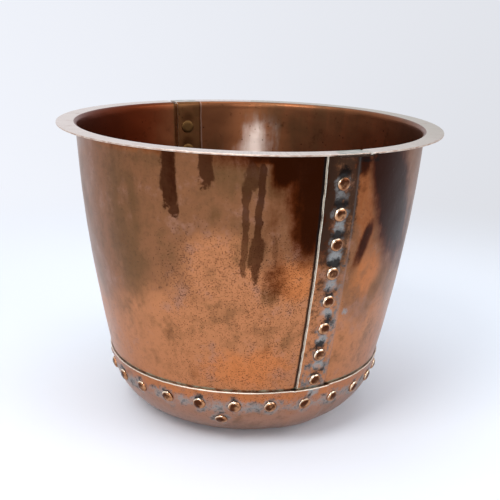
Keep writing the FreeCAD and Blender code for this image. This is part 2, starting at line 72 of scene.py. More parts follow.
def skinRadius(z, layers, knee):
    # the skin's radius at a height: one long arc, then the knee below their common tangent
    reach = pot["wallArcRadius"] + layers * pot["layer"]
    lift = layers - (1 if knee == pot["kneeRadius"] else 0)
    low = kneeCentre(lift)
    share = reach / hypot(low - arcX, pot["kneeRadius"] - arcZ)
    joinZ = arcZ + (pot["kneeRadius"] - arcZ) * share
    if z >= joinZ:
        return arcX + sqrt(reach ** 2 - (arcZ - z) ** 2)
    return low + sqrt(max(0.0, knee ** 2 - (pot["kneeRadius"] - z) ** 2))


wallKnee = pot["kneeRadius"] - pot["layer"]


def polar(radius, azimuth, z):
    turn = radians(azimuth)
    return Vector((radius * sin(turn), -radius * cos(turn), z))


def azimuthOf(x, y):
    return degrees(atan2(x, -y))


def smoothStep(value, low, high):
    share = min(1.0, max(0.0, (value - low) / (high - low)))
    return share * share * (3 - 2 * share)


# Rivets: sizes and places. Each lies its grip deep between head and tail.
rivets = {
    "seamDrop": 0.0395,
    "seamFootGap": 0.0133,
    "seamCount": 8,
    "ringHeight": 0.0634,
    "ringOffset": 2.8,
    "ringPerSide": 12,
    "loneAzimuth": -8.5,
    "loneHeight": 0.0398,
    "headRadius": 0.0088,
    "headSkirt": 0.0006,
    "headRise": 0.0044,
    "headSeat": 0.0003,
    "headSteps": 8,
    "shankRadius": 0.0035,
    "tailRadius": 0.0100,
    "tailThickness": 0.0014,
    "sheetGrip": 0.00425,
    "seamSeat": 0.0003,
    "ringSeat": 0.0006,
    "segments": 28,
    "narrowest": 0.93,
    "flattest": 0.86,
    "tilt": 0.02,
    "lump": 0.00035,
    "lumpScale": 260,
    "beatenAzimuth": 25.2,
    "beatenRise": 0.45,
    "paintReach": 0.014,
    "headFrom": 0.0004,
    "tailFrom": -0.002,
}


def seamPlaces(azimuth):
    # azimuth, radius, height, the axis's drop in radians, and the grip at which the tail rests
    first = asin((arcZ - pot["height"] + rivets["seamDrop"]) / pot["wallArcRadius"])
    last = asin((arcZ - pot["panEdge"] - rivets["seamFootGap"]) / pot["wallArcRadius"])
    reach = pot["wallArcRadius"] + pot["layer"]
    grip = rivets["sheetGrip"] + rivets["seamSeat"]
    places = []
    for i in range(rivets["seamCount"]):
        drop = first + i * (last - first) / (rivets["seamCount"] - 1)
        places.append((azimuth, arcX + reach * cos(drop), arcZ - reach * sin(drop), drop, grip))
    return places


def ringPlaces():
    drop = asin((pot["kneeRadius"] - rivets["ringHeight"]) / pot["kneeRadius"])
    turn = pot["backSeam"] - pot["frontSeam"]
    places = []
    for start, run in ((pot["frontSeam"], turn), (pot["backSeam"], 360 - turn)):
        for i in range(rivets["ringPerSide"] + 1):
            lift = 1 if i == 0 else 0
            azimuth = start - rivets["ringOffset"] + i * run / (rivets["ringPerSide"] + 1)
            radius = kneeCentre(lift) + pot["kneeRadius"] * cos(drop)
            grip = rivets["sheetGrip"] + rivets["ringSeat"] + lift * pot["layer"]
            places.append((azimuth, radius, rivets["ringHeight"], drop, grip))
    return places


def lonePlace():
    drop = asin((pot["kneeRadius"] - rivets["loneHeight"]) / pot["kneeRadius"])
    radius = kneeCentre(0) + pot["kneeRadius"] * cos(drop)
    grip = pot["sheet"] + rivets["ringSeat"]
    return [(rivets["loneAzimuth"], radius, rivets["loneHeight"], drop, grip)]


places = {
    "front_seam_rivets": seamPlaces(pot["frontSeam"]),
    "back_seam_rivets": seamPlaces(pot["backSeam"]),
    "base_ring_rivets": ringPlaces(),
    "lower_pan_rivet": lonePlace(),
}


def pointsOf(*nodes):
    return np.array([polar(r, a, z) for node in nodes for a, r, z, drop, grip in places[node]])


seamPoints = pointsOf("front_seam_rivets", "back_seam_rivets")
ringPoints = pointsOf("base_ring_rivets", "lower_pan_rivet")

# Hand-made unevenness that every sheet shares: depths in metres, and the noise's scales
dents = {"soft": 0.0007, "softScale": 9.0, "small": 0.00022, "smallScale": 34.0}


def unevenness(point):
    soft = noise.noise(point * dents["softScale"]) * dents["soft"]
    small = noise.noise(point * dents["smallScale"]) * dents["small"]
    return soft + small


# The rim dips a little at the right and at the back, more the higher it is
sag = {"right": 0.0010, "rightAzimuth": 62, "back": 0.0012, "backAzimuth": 205, "low": 0.30, "high": 0.397}


def flangeSag(azimuth, z):
    right = max(0.0, cos(radians(azimuth - sag["rightAzimuth"]))) ** 3
    back = max(0.0, cos(radians(azimuth - sag["backAzimuth"]))) ** 2
    return (-sag["right"] * right - sag["back"] * back) * smoothStep(z, sag["low"], sag["high"])


def spinRound(bm, points, angle, steps):
    # a chain of points turned about Z, and closed where it comes full circle
    chain = [bm.verts.new(p) for p in points]
    chain += [bm.edges.new(pair) for pair in zip(chain, chain[1:])]
    full = angle >= 2 * pi
    bmesh.ops.spin(bm, geom=chain, cent=(0, 0, 0), axis=(0, 0, 1), angle=angle, steps=steps, use_merge=full)
    if full:
        bmesh.ops.remove_doubles(bm, verts=bm.verts, dist=1e-6)


def faceOutwards(bm):
    # one open sheet: its normals are made even, then turned away from a point inside the pot
    bmesh.ops.recalc_face_normals(bm, faces=bm.faces)
    inside = Vector((0, 0, 0.3))
    lean = sum(f.normal.dot(f.calc_center_median() - inside) * f.calc_area() for f in bm.faces)
    if lean < 0:
        bmesh.ops.reverse_faces(bm, faces=bm.faces)


def finishObject(name, bm):
    mesh = bpy.data.meshes.new(name)
    bm.to_mesh(mesh)
    bm.free()
    piece = bpy.data.objects.new(name, mesh)
    scene.collection.objects.link(piece)
    return piece


finish = {"bevelAngle": 40, "sharpAngle": 50}


def smoothShade(mesh):
    mesh.polygons.foreach_set("use_smooth", [True] * len(mesh.polygons))
    mesh.set_sharp_from_angle(angle=radians(finish["sharpAngle"]))


def giveThickness(piece, names, bevel):
    # the sheet grows inwards, takes its raw edge from the last material, and its corners are eased
    for name in names:
        piece.data.materials.append(materials[name])
    thick = piece.modifiers.new("thickness", "SOLIDIFY")
    thick.thickness = pot["sheet"]
    thick.offset = -1
    thick.use_even_offset = True
    thick.material_offset = 1
    thick.material_offset_rim = len(names) - 1
    if "metal" in piece.vertex_groups:
        thick.vertex_group = "metal"
    soft = piece.modifiers.new("edges", "BEVEL")
    soft.limit_method = "ANGLE"
    soft.angle_limit = radians(finish["bevelAngle"])
    soft.width = bevel
    soft.segments = 2
    bpy.context.view_layer.update()
    ready = piece.evaluated_get(bpy.context.evaluated_depsgraph_get())
    mesh = bpy.data.meshes.new_from_object(ready)
    piece.modifiers.clear()
    piece.data = mesh
    smoothShade(mesh)


# Wall sheets: angles in degrees from the seam's rivet line
wall = {
    "leadIn": 6.5,
    "rawEdgeReach": 0.023,
    "tuckAngle": 4.1,
    "joggleStart": 4.25,
    "joggleEnd": 5.95,
    "rows": 104,
    "bendSteps": 5,
    "flangeSteps": 7,
    "lapColumns": 44,
    "lapShare": 0.075,
    "columns": 250,
    "feather": 0.0030,
    "featherDepth": 0.0013,
    "flangeMargin": 0.001,
    "bevel": 0.0004,
}


def wallProfile():
    # the outer skin, from the foot up and out along the flange's underside
    top = pot["height"] - pot["sheet"]
    bendZ = top - pot["bendRadius"]
    reach = pot["wallArcRadius"] + pot["bendRadius"]
    bendX = arcX + sqrt(reach ** 2 - (arcZ - bendZ) ** 2)
    touch = atan2(bendZ - arcZ, bendX - arcX)
    touchZ = bendZ - pot["bendRadius"] * sin(touch)
    points = []
    for i in range(wall["rows"] + 1):
        z = pot["wallFoot"] + (touchZ - pot["wallFoot"]) * i / wall["rows"]
        points.append((skinRadius(z, 0, wallKnee), z))
    begin = pi + touch
    for i in range(1, wall["bendSteps"] + 1):
        turn = begin + (pi / 2 - begin) * i / wall["bendSteps"]
        points.append((bendX + pot["bendRadius"] * cos(turn), bendZ + pot["bendRadius"] * sin(turn)))
    for i in range(1, wall["flangeSteps"] + 1):
        points.append((bendX + (pot["rimRadius"] - bendX) * i / wall["flangeSteps"], top))
    return points, bendX, bendZ


def lapLift(azimuth, seam):
    # 1 where the sheet lies over its neighbour, 0 past the joggle
    return 1 - smoothStep(azimuth - seam, wall["joggleStart"], wall["joggleEnd"])


def wallSheet(name, seam, span):
    profile, bendX, bendZ = wallProfile()
    bm = bmesh.new()
    start = seam - wall["leadIn"]
    sweep = span + wall["tuckAngle"] + wall["leadIn"]
    spinRound(bm, [polar(r, start, z) for r, z in profile], radians(sweep), wall["columns"])
    faceOutwards(bm)
    lapEnd = wall["lapColumns"] / wall["columns"]
    metal = bm.verts.layers.float.new("metal")
    for vert in bm.verts:
        radius, z = hypot(vert.co.x, vert.co.y), vert.co.z
        share = ((azimuthOf(vert.co.x, vert.co.y) - start + 1) % 360 - 1) / sweep
        # columns stand closer at the lap, and the raw edge is a straight cut beside the rivets
        if share < lapEnd:
            share = share / lapEnd * wall["lapShare"]
        else:
            share = wall["lapShare"] + (share - lapEnd) / (1 - lapEnd) * (1 - wall["lapShare"])
        rawStart = seam - degrees(asin(wall["rawEdgeReach"] / radius))
        azimuth = rawStart + share * (seam + span + wall["tuckAngle"] - rawStart)
        lift = lapLift(azimuth, seam)
        edge = radians(azimuth - rawStart) * radius
        thin = wall["featherDepth"] * max(0.0, 1 - edge / wall["feather"])
        push = unevenness(polar(radius, azimuth, z))
        flange = min(1.0, max(0.0, (radius - bendX + pot["bendRadius"]) / pot["bendRadius"]))
        if z < bendZ:
            radius += lift * (skinRadius(z, 1, wallKnee) - skinRadius(z, 0, wallKnee)) + push - thin
        elif radius > bendX:
            z += -lift * pot["layer"] + thin
        else:
            ratio = 1 - lift * pot["layer"] / pot["bendRadius"]
            radius = bendX + (radius - bendX) * ratio - thin * (1 - flange)
            z = bendZ + (z - bendZ) * ratio + thin * flange
        z += flangeSag(azimuth, z)
        vert.co = polar(radius, azimuth, z)
        vert[metal] = 1 - thin / pot["sheet"]
    for face in bm.faces:
        middle = face.calc_center_median()
        onFlange = hypot(middle.x, middle.y) > bendX - wall["flangeMargin"] and middle.z > bendZ
        face.material_index = 2 if onFlange else 0
    weights = [vert[metal] for vert in bm.verts]
    piece = finishObject(name, bm)
    group = piece.vertex_groups.new(name="metal")
    for index, weight in enumerate(weights):
        group.add([index], weight, "REPLACE")
    giveThickness(piece, ("wallOutside", "wallInside", "flangeUnderShaded", "flangeTop", "rawEdge"), wall["bevel"])
    return piece


def linear(red, green, blue):
    # a colour given as it shows on the screen
    def one(value):
        value /= 255
        return value / 12.92 if value <= 0.04045 else ((value + 0.055) / 1.055) ** 2.4
    return (one(red), one(green), one(blue), 1.0)


class Tree:
    # a material, with short ways to add and join its nodes
    def __init__(self, name):
        self.material = bpy.data.materials.new(name)
        self.material.use_nodes = True
        self.nodes = self.material.node_tree.nodes
        self.links = self.material.node_tree.links
        self.shader = self.nodes["Principled BSDF"]
        self.place = self.nodes.new("ShaderNodeTexCoord").outputs["Object"]

    def put(self, socket, value):
        if isinstance(value, bpy.types.NodeSocket):
            self.links.new(value, socket)
        else:
            socket.default_value = value

    def attribute(self, name):
        node = self.nodes.new("ShaderNodeAttribute")
        node.attribute_name = name
        return node.outputs["Fac"]

    def math(self, operation, *values, clamp=False):
        node = self.nodes.new("ShaderNodeMath")
        node.operation = operation
        node.use_clamp = clamp
        for socket, value in zip(node.inputs, values):
            self.put(socket, value)
        return node.outputs[0]

    def ramp(self, value, low, high, floor=0.0, top=1.0):
        node = self.nodes.new("ShaderNodeMapRange")
        node.interpolation_type = "SMOOTHSTEP"
        for name, number in (("Value", value), ("From Min", low), ("From Max", high),
                             ("To Min", floor), ("To Max", top)):
            self.put(node.inputs[name], number)
        return node.outputs[0]

    def mix(self, share, first, second):
        node = self.nodes.new("ShaderNodeMix")
        node.data_type = "RGBA"
        self.put(node.inputs[0], share)
        self.put(node.inputs[6], first)
        self.put(node.inputs[7], second)
        return node.outputs[2]

    def sum(self, first, *shares):
        for source, share in shares:
            first = self.math("ADD", first, self.math("MULTIPLY", source, share))
        return first

    def mask(self, kind, ragged, low, high, top):
        # a painted mask with its edge broken up, and 0 where nothing is painted
        painted = self.attribute(kind)
        gate = self.math("MULTIPLY", painted, 4, clamp=True)
        return self.ramp(self.sum(painted, (gate, ragged)), low, high, 0, top)

    def stretched(self, scale, source=None):
        node = self.nodes.new("ShaderNodeMapping")
        self.links.new(source or self.place, node.inputs["Vector"])
        node.inputs["Scale"].default_value = scale
        return node.outputs[0]

    def cloud(self, scale, detail=4.0, rough=0.55, vector=None, distortion=0.0):
        node = self.nodes.new("ShaderNodeTexNoise")
        self.links.new(vector or self.place, node.inputs["Vector"])
        node.inputs["Scale"].default_value = scale
        node.inputs["Detail"].default_value = detail
        node.inputs["Roughness"].default_value = rough
        node.inputs["Distortion"].default_value = distortion
        return node.outputs["Fac"]

    def swing(self, *settings, **more):
        # a cloud that swings about 0
        return self.math("SUBTRACT", self.cloud(*settings, **more), 0.5)

    def cells(self, scale):
        # the distance from a cell's middle, and a number drawn for each cell
        node = self.nodes.new("ShaderNodeTexVoronoi")
        self.links.new(self.place, node.inputs["Vector"])
        node.inputs["Scale"].default_value = scale
        split = self.nodes.new("ShaderNodeSeparateColor")
        self.links.new(node.outputs["Color"], split.inputs[0])
        return node.outputs["Distance"], split.outputs[0]

    def relief(self, height, strength, distance, under=None):
        node = self.nodes.new("ShaderNodeBump")
        node.inputs["Strength"].default_value = strength
        node.inputs["Distance"].default_value = distance
        self.put(node.inputs["Height"], height)
        if under is not None:
            self.links.new(under, node.inputs["Normal"])
        return node.outputs[0]

    def use(self, **sockets):
        names = {"colour": "Base Color", "metal": "Metallic", "rough": "Roughness", "normal": "Normal"}
        for key, value in sockets.items():
            self.put(self.shader.inputs[names[key]], value)
        return self.material


palette = {
    "warm": linear(184, 121, 81),
    "cool": linear(138, 92, 62),
    "olive": linear(107, 76, 48),
    "rose": linear(165, 121, 102),
    "sheenOrange": linear(202, 122, 70),
    "russet": linear(88, 36, 10),
    "dark": linear(44, 13, 2),
    "umber": linear(60, 42, 32),
    "slate": linear(146, 149, 148),
    "stain": linear(52, 20, 6),
    "sootAndPaintedShade": linear(26, 20, 18),
    "verdigris": linear(112, 134, 116),
    "wearAndHighlight": linear(238, 228, 208),
    "silver": linear(231, 219, 211),
    "silverGreen": linear(200, 192, 179),
    "inside": linear(124, 77, 50),
    "insideBrown": linear(104, 70, 46),
    "insideShadeTone": linear(112, 50, 26),
    "insideHighlightTone": linear(206, 188, 178),
    "insideOlive": linear(94, 67, 38),
    "pan": linear(176, 113, 76),
    "panRose": linear(164, 120, 97),
    "edge": linear(222, 203, 187),
    "edgeRose": linear(186, 152, 134),
    "rivet": linear(186, 136, 98),
    "rivetBrown": linear(142, 92, 60),
    "rivetShadeTone": linear(70, 34, 18),
    "rivetWearAndHighlight": linear(240, 220, 194),
}

# crisp dark runs on the outside: azimuth and half width in degrees, top, bottom, strength
runs = [
    (-22.9, 2.6, 0.44, 0.328, 0.98),
    (-21.6, 1.9, 0.335, 0.312, 0.92),
    (-11.6, 1.7, 0.44, 0.355, 0.80),
    (-0.6, 1.3, 0.368, 0.240, 0.72),
    (3.7, 1.1, 0.386, 0.242, 0.82),
    (3.4, 2.3, 0.304, 0.258, 0.80),
    (1.2, 2.6, 0.386, 0.352, 0.66),
    (8.2, 1.1, 0.290, 0.262, 0.40),
]

# lines beside the raw edges: from, to and softness, in metres from the rivet line for the seams
# and above the pan's edge for the pan
# the highlight lines are painted highlights on the raw edges, the shadow lines painted shadows in the
# corners beside them
edgeLines = {
    "seamHighlight": (-0.0238, -0.0223, 0.0004),
    "seamShadow": (-0.0272, -0.0234, 0.0010),
    "insideEdgeHighlight": (-0.0240, -0.0222, 0.0005),
    "insideEdgeShadow": (-0.0216, -0.0196, 0.0006),
    "panHighlight": (-0.0012, 0.0004, 0.0005),
    "panShadowAndVerdigris": (0.0002, 0.0036, 0.0012),
}


def turnAndHeight(t):
    # azimuth in degrees and height, from the object's own coordinates
    split = t.nodes.new("ShaderNodeSeparateXYZ")
    t.links.new(t.place, split.inputs[0])
    turn = t.math("ARCTAN2", split.outputs[0], t.math("MULTIPLY", split.outputs[1], -1.0))
    return t.math("MULTIPLY", turn, 180 / pi), split.outputs[2]


def acrossSeam(t, seam):
    # metres to the right of a seam's rivet line, and 1 on that side of the pot
    def along(vector):
        node = t.nodes.new("ShaderNodeVectorMath")
        node.operation = "DOT_PRODUCT"
        t.links.new(t.place, node.inputs[0])
        node.inputs[1].default_value = vector
        return node.outputs["Value"]
    turn = radians(seam)
    side = t.math("GREATER_THAN", along((sin(turn), -cos(turn), 0)), 0.1)
    return along((cos(turn), sin(turn), 0)), side


def bandOf(t, value, low, high, soft):
    rise = t.ramp(value, low - soft, low + soft)
    return t.math("MULTIPLY", rise, t.ramp(value, high - soft, high + soft, 1, 0))


def markOf(t, turn, level, run):
    # one run with wavering sides and rounded ends
    middle, half, top, bottom, strength = run
    ends = 0.016
    aside = t.math("DIVIDE", t.math("ABSOLUTE", t.math("SUBTRACT", turn, middle)), half)
    below = t.math("SUBTRACT", bottom + ends, level)
    beyond = t.math("MAXIMUM", t.math("MAXIMUM", below, t.math("SUBTRACT", level, top - ends)), 0.0)
    beyond = t.math("DIVIDE", beyond, ends)
    off = t.math("ADD", t.math("POWER", aside, 2.0), t.math("POWER", beyond, 2.0))
    return t.ramp(off, 0.62, 1.35, strength, 0)


def outsideCopper(name, warm, cool, band):
    t = Tree(name)
    azimuth, height = turnAndHeight(t)
    clouds = t.swing(14, 6, 0.62, distortion=0.6)
    fine = t.swing(60, 6, 0.68)
    grain = t.swing(150, 5, 0.7)
    strands = t.swing(34, 5, 0.6, t.stretched((1, 1, 0.10)))
    drift = t.swing(22, 4, 0.6, t.stretched((1, 1, 0.3)))
    # bare copper, pinker and browner higher up; warmer low down and in the middle, where the warmth is a
    # painted reflection of the bright floor
    warmthAndReflection = t.sum(t.attribute("warmthAndReflection"), (t.swing(7, 5), 1.8), (strands, 0.8), (fine, 0.6))
    colour = t.mix(t.ramp(warmthAndReflection, 0.2, 0.8), cool, warm)
    blotch = t.sum(t.cloud(19, 6, 0.65), (fine, 0.7), (strands, 0.3))
    colour = t.mix(t.ramp(blotch, 0.26, 0.48, 0.5, 0), colour, palette["rose"])
    colour = t.mix(t.ramp(blotch, 0.50, 0.76, 0, 0.55), colour, palette["olive"])
    # painted sheen: patches brightened towards orange as if the copper shone there
    glow = t.sum(t.attribute("glow"), (clouds, 1.3), (strands, 1.1), (fine, 0.9))
    colour = t.mix(t.ramp(glow, 0.2, 0.95, 0, 0.8), colour, band)
    shade = t.sum(t.attribute("shade"), (clouds, 1.4), (strands, 1.6), (fine, 0.8))
    colour = t.mix(t.ramp(shade, 0.15, 0.95, 0, 0.75), colour, palette["olive"])
    colour = t.mix(t.ramp(grain, -0.02, 0.2, 0, 0.22), colour, palette["umber"])
    # fine dark pits, closer together in some places
    distance, chance = t.cells(620)
    near = t.ramp(t.sum(distance, (fine, 0.7)), 0.2, 0.6, 1, 0)
    crowd = t.math("MULTIPLY", t.attribute("pits"), t.sum(1.0, (clouds, 2.2), (fine, 1.2)))
    pits = t.math("MULTIPLY", near, t.ramp(t.math("ADD", chance, crowd), 0.90, 1.06))
    colour = t.mix(t.math("MULTIPLY", pits, 0.72), colour, palette["dark"])
    # broad tarnish with lighter strands inside it, and in it a painted dark reflection high up and a painted
    # shadow under the flange, then the crisp runs
    broad = t.sum(t.attribute("tarnishAndShade"), (clouds, 0.8), (strands, 1.0), (fine, 0.8))
    deep = t.mix(t.ramp(t.sum(broad, (strands, 0.6)), 0.45, 1.10), palette["russet"], palette["dark"])
    colour = t.mix(t.ramp(broad, 0.08, 0.88, 0, 0.98), colour, deep)
    turn = t.sum(azimuth, (drift, 7.0), (fine, 2.6), (grain, 1.0))
    level = t.sum(height, (clouds, 0.07), (fine, 0.05))
    streaks = 0.0
    for run in runs:
        streaks = t.math("MAXIMUM", streaks, markOf(t, turn, level, run))
    thinned = t.ramp(t.math("ADD", strands, fine), -0.16, 0.22, 1.0, 0.84)
    colour = t.mix(t.math("MULTIPLY", streaks, thinned), colour, palette["stain"])
    # smoky band along the laps, then slate grey and black oxide round the rivets; the black also carries a
    # painted shadow under the flange
    ragged = t.sum(t.math("MULTIPLY", fine, 2.2), (grain, 1.2))
    colour = t.mix(t.mask("lap", ragged, 0.2, 0.85, 0.9), colour, palette["umber"])
    oxide = t.mask("oxide", ragged, 0.25, 0.85, 0.9)
    grey = t.mix(t.ramp(t.sum(fine, (grain, 1.0)), -0.05, 0.3), palette["slate"], palette["umber"])
    colour = t.mix(oxide, colour, grey)
    colour = t.mix(t.mask("sootAndPaintedShade", ragged, 0.25, 0.85, 0.96), colour, palette["sootAndPaintedShade"])
    # a painted highlight along each raw edge, with a painted shadow in the corner beside it
    wearAndHighlight = t.attribute("wearAndHighlight")
    wobble = t.math("MULTIPLY", fine, 0.0020)
    above = t.ramp(height, pot["panEdge"], pot["panEdge"] + 0.001)
    for seam in (pot["frontSeam"], pot["backSeam"]):
        across, side = acrossSeam(t, seam)
        across = t.math("ADD", across, wobble)
        here = t.math("MULTIPLY", side, above)
        line = t.math("MULTIPLY", bandOf(t, across, *edgeLines["seamHighlight"]), here)
        wearAndHighlight = t.math("MAXIMUM", wearAndHighlight, line)
        corner = t.math("MULTIPLY", bandOf(t, across, *edgeLines["seamShadow"]), here)
        colour = t.mix(t.math("MULTIPLY", corner, 0.92), colour, palette["sootAndPaintedShade"])
    # at the pan's edge: a painted shadow just above it, mixed with verdigris, and a painted highlight along
    # it
    edge = t.math("SUBTRACT", t.math("ADD", height, wobble), pot["panEdge"])
    corner = t.math("MULTIPLY", bandOf(t, edge, *edgeLines["panShadowAndVerdigris"]), 0.75)
    colour = t.mix(corner, colour, t.mix(t.ramp(fine, -0.1, 0.1), palette["verdigris"], palette["sootAndPaintedShade"]))
    wearAndHighlight = t.math("MAXIMUM", wearAndHighlight, bandOf(t, edge, *edgeLines["panHighlight"]))
    wearAndHighlight = t.math("MULTIPLY", wearAndHighlight, t.ramp(fine, -0.22, -0.04, 0.3, 0.95))
    colour = t.mix(wearAndHighlight, colour, palette["wearAndHighlight"])
    rough = t.sum(0.33, (clouds, 0.3), (oxide, 0.14))
    normal = t.relief(t.cloud(110, 3), 0.22, 0.0004)
    normal = t.relief(t.cloud(34, 2), 0.25, 0.0010, normal)
    normal = t.relief(pits, 0.4, -0.0004, normal)
    metal = t.math("SUBTRACT", 1.0, t.math("MULTIPLY", oxide, 0.45))
    return t.use(colour=colour, metal=metal, rough=rough, normal=normal)


def insideCopper(name):
    t = Tree(name)
    clouds = t.cloud(12, 6, 0.6)
    centred = t.math("SUBTRACT", clouds, 0.5)
    fine = t.swing(60, 5, 0.65)
    strands = t.swing(30, 5, 0.6, t.stretched((1, 1, 0.12)))
    mottle = t.ramp(t.math("ADD", clouds, strands), 0.35, 0.7)
    colour = t.mix(mottle, palette["inside"], palette["insideBrown"])
    # painted shade on the inside walls to the left and the right
    insideShade = t.sum(t.attribute("insideShade"), (centred, 0.7))
    colour = t.mix(t.ramp(insideShade, 0.2, 0.9), colour, palette["insideShadeTone"])
    # a painted pale reflection at the back of the inside
    ragged = t.math("MULTIPLY", t.math("ADD", centred, strands), 1.6)
    colour = t.mix(t.mask("insideReflection", ragged, 0.1, 1.1, 1.0), colour, palette["insideHighlightTone"])
    lap = t.ramp(t.sum(t.attribute("lap"), (fine, 2.2)), 0.2, 0.9, 0, 0.6)
    colour = t.mix(lap, colour, palette["insideOlive"])
    colour = t.mix(t.math("MULTIPLY", t.attribute("sootAndPaintedShade"), 0.7), colour, palette["dark"])
    # where the other sheet's raw edge lies: a faint painted highlight line, with a painted shadow line
    # beside it
    for seam in (pot["frontSeam"], pot["backSeam"]):
        across, side = acrossSeam(t, seam)
        across = t.sum(across, (fine, 0.003))
        for line, share, tone in (("insideEdgeHighlight", 0.22, "insideHighlightTone"), ("insideEdgeShadow", 0.5, "dark")):
            band = t.math("MULTIPLY", bandOf(t, across, *edgeLines[line]), side)
            colour = t.mix(t.math("MULTIPLY", band, share), colour, palette[tone])
    # dark specks, and darker grain
    distance, chance = t.cells(240)
    specks = t.math("MULTIPLY", t.ramp(distance, 0.15, 0.35, 1, 0), t.ramp(chance, 0.93, 1.0))
    colour = t.mix(specks, colour, palette["dark"])
    colour = t.mix(t.ramp(fine, 0.08, 0.25, 0, 0.5), colour, palette["dark"])
    rough = t.sum(0.28, (clouds, 0.14))
    normal = t.relief(t.cloud(110, 3), 0.2, 0.0004)
    normal = t.relief(t.cloud(34, 2), 0.3, 0.0012, normal)
    return t.use(colour=colour, metal=1.0, rough=rough, normal=normal)


def flangeCopper(name):
    t = Tree(name)
    azimuth = turnAndHeight(t)[0]
    wrap = t.nodes.new("ShaderNodeUVMap")
    wrap.uv_map = "wrap"
    # silvery, greener to the right, with fine scratches across it and stains at the laps
    scratches = t.cloud(1, 4, 0.7, t.stretched((900, 25, 1), wrap.outputs[0]))
    base = t.mix(t.ramp(azimuth, 0, 100), palette["silver"], palette["silverGreen"])
    colour = t.mix(t.ramp(scratches, 0.3, 0.7), base, t.mix(0.28, base, palette["olive"]))
    patches = t.ramp(t.cloud(40, 5, 0.65), 0.55, 0.75, 0, 0.45)
    colour = t.mix(patches, colour, palette["rose"])
    stain = t.ramp(t.sum(t.attribute("lap"), (t.swing(70, 4), 2.0)), 0.35, 1.2, 0, 0.7)
    colour = t.mix(stain, colour, palette["verdigris"])
    return t.use(colour=colour, metal=1.0, rough=0.38, normal=t.relief(scratches, 0.2, 0.0003))


def edgeCopper(name):
    t = Tree(name)
    colour = t.mix(t.ramp(t.cloud(140, 4), 0.35, 0.7), palette["edge"], palette["edgeRose"])
    colour = t.mix(t.attribute("sootAndPaintedShade"), colour, palette["umber"])
    return t.use(colour=colour, metal=1.0, rough=0.34)


def rivetCopper(name):
    t = Tree(name)
    patches = t.cloud(150, 4)
    centred = t.math("SUBTRACT", patches, 0.5)
    colour = t.mix(t.ramp(patches, 0.4, 0.65), palette["rivet"], palette["rivetBrown"])
    # painted dark reflection in the crown, and darker round the head's foot
    dark = t.ramp(t.math("ADD", t.attribute("sootAndPaintedShade"), centred), 0.3, 0.7, 0, 0.95)
    colour = t.mix(dark, colour, palette["rivetShadeTone"])
    # the tails inside are olive and duller
    dull = t.ramp(t.math("ADD", t.attribute("lap"), centred), 0.3, 0.7)
    colour = t.mix(dull, colour, palette["insideOlive"])
    # painted highlight on the upper left shoulder, partly wear
    wearAndHighlight = t.ramp(t.sum(t.attribute("wearAndHighlight"), (centred, 0.6)), 0.35, 0.7)
    colour = t.mix(wearAndHighlight, colour, palette["rivetWearAndHighlight"])
    rough = t.sum(0.22, (t.attribute("lap"), 0.2))
    normal = t.relief(t.cloud(160, 3), 0.3, 0.0004)
    return t.use(colour=colour, metal=1.0, rough=rough, normal=normal)


materials = {
    "wallOutside": outsideCopper("wallOutsideCopper", palette["warm"], palette["cool"], palette["sheenOrange"]),
    "wallInside": insideCopper("wallInsideCopper"),
    # the flange's underside: darker copper colours, a painted shade under the flange
    "flangeUnderShaded": outsideCopper("flangeUnderShadedCopper", palette["cool"], palette["olive"], palette["sheenOrange"]),
    "panOutside": outsideCopper("panOutsideCopper", palette["pan"], palette["panRose"], palette["sheenOrange"]),
    "flangeTop": flangeCopper("flangeTopCopper"),
    "rawEdge": edgeCopper("rawEdgeCopper"),
    "rivet": rivetCopper("rivetCopper"),
}
print("materials ready")

# Pan: angles in degrees from a seam's rivet line, the lift is where it covers a lap
pan = {
    "columns": 360,
    "floorSteps": 12,
    "kneeSteps": 20,
    "kneeEnd": 0.22,
    "edgeSteps": 6,
    "coverLeft": 8.1,
    "coverRight": 6.55,
    "slope": 1.6,
    "liftLow": 0.001,
    "liftHigh": 0.012,
    "lumps": 0.0006,
    "lumpScale": 60,
    "evenBelow": 0.02,
    "bevel": 0.0007,
}


def panLift(azimuth):
    best = 0.0
    for seam in (pot["frontSeam"], pot["backSeam"]):
        off = (azimuth - seam + 180) % 360 - 180
        rise = smoothStep(off, -pan["coverLeft"] - pan["slope"], -pan["coverLeft"])
        best = max(best, rise * (1 - smoothStep(off, pan["coverRight"], pan["coverRight"] + pan["slope"])))
    return best


def panPiece(name):
    knee = pot["kneeRadius"]
    flat = kneeCentre(0)
    points = [(flat * i / pan["floorSteps"], 0.0) for i in range(pan["floorSteps"] + 1)]
    for i in range(1, pan["kneeSteps"] + 1):
        turn = (pi / 2 - pan["kneeEnd"]) * i / pan["kneeSteps"]
        points.append((flat + knee * sin(turn), knee - knee * cos(turn)))
    lastZ = points[-1][1]
    for i in range(1, pan["edgeSteps"] + 1):
        z = lastZ + (pot["panEdge"] - lastZ) * i / pan["edgeSteps"]
        points.append((skinRadius(z, 1, knee), z))
    bm = bmesh.new()
    spinRound(bm, [polar(r, 0, z) for r, z in points], 2 * pi, pan["columns"])
    faceOutwards(bm)
    for vert in bm.verts:
        radius, z = hypot(vert.co.x, vert.co.y), vert.co.z
        if radius < flat:
            continue
        azimuth = azimuthOf(vert.co.x, vert.co.y)
        lumps = noise.noise(vert.co * pan["lumpScale"] + Vector((3, 7, 1))) * pan["lumps"]
        push = (unevenness(vert.co) + lumps) * smoothStep(z, 0.0, pan["evenBelow"])
        lift = panLift(azimuth) * smoothStep(z, pan["liftLow"], pan["liftHigh"])
        vert.co = polar(radius + lift * (kneeCentre(1) - kneeCentre(0)) + push, azimuth, z)
    piece = finishObject(name, bm)
    giveThickness(piece, ("panOutside", "wallInside", "rawEdge"), pan["bevel"])
    return piece


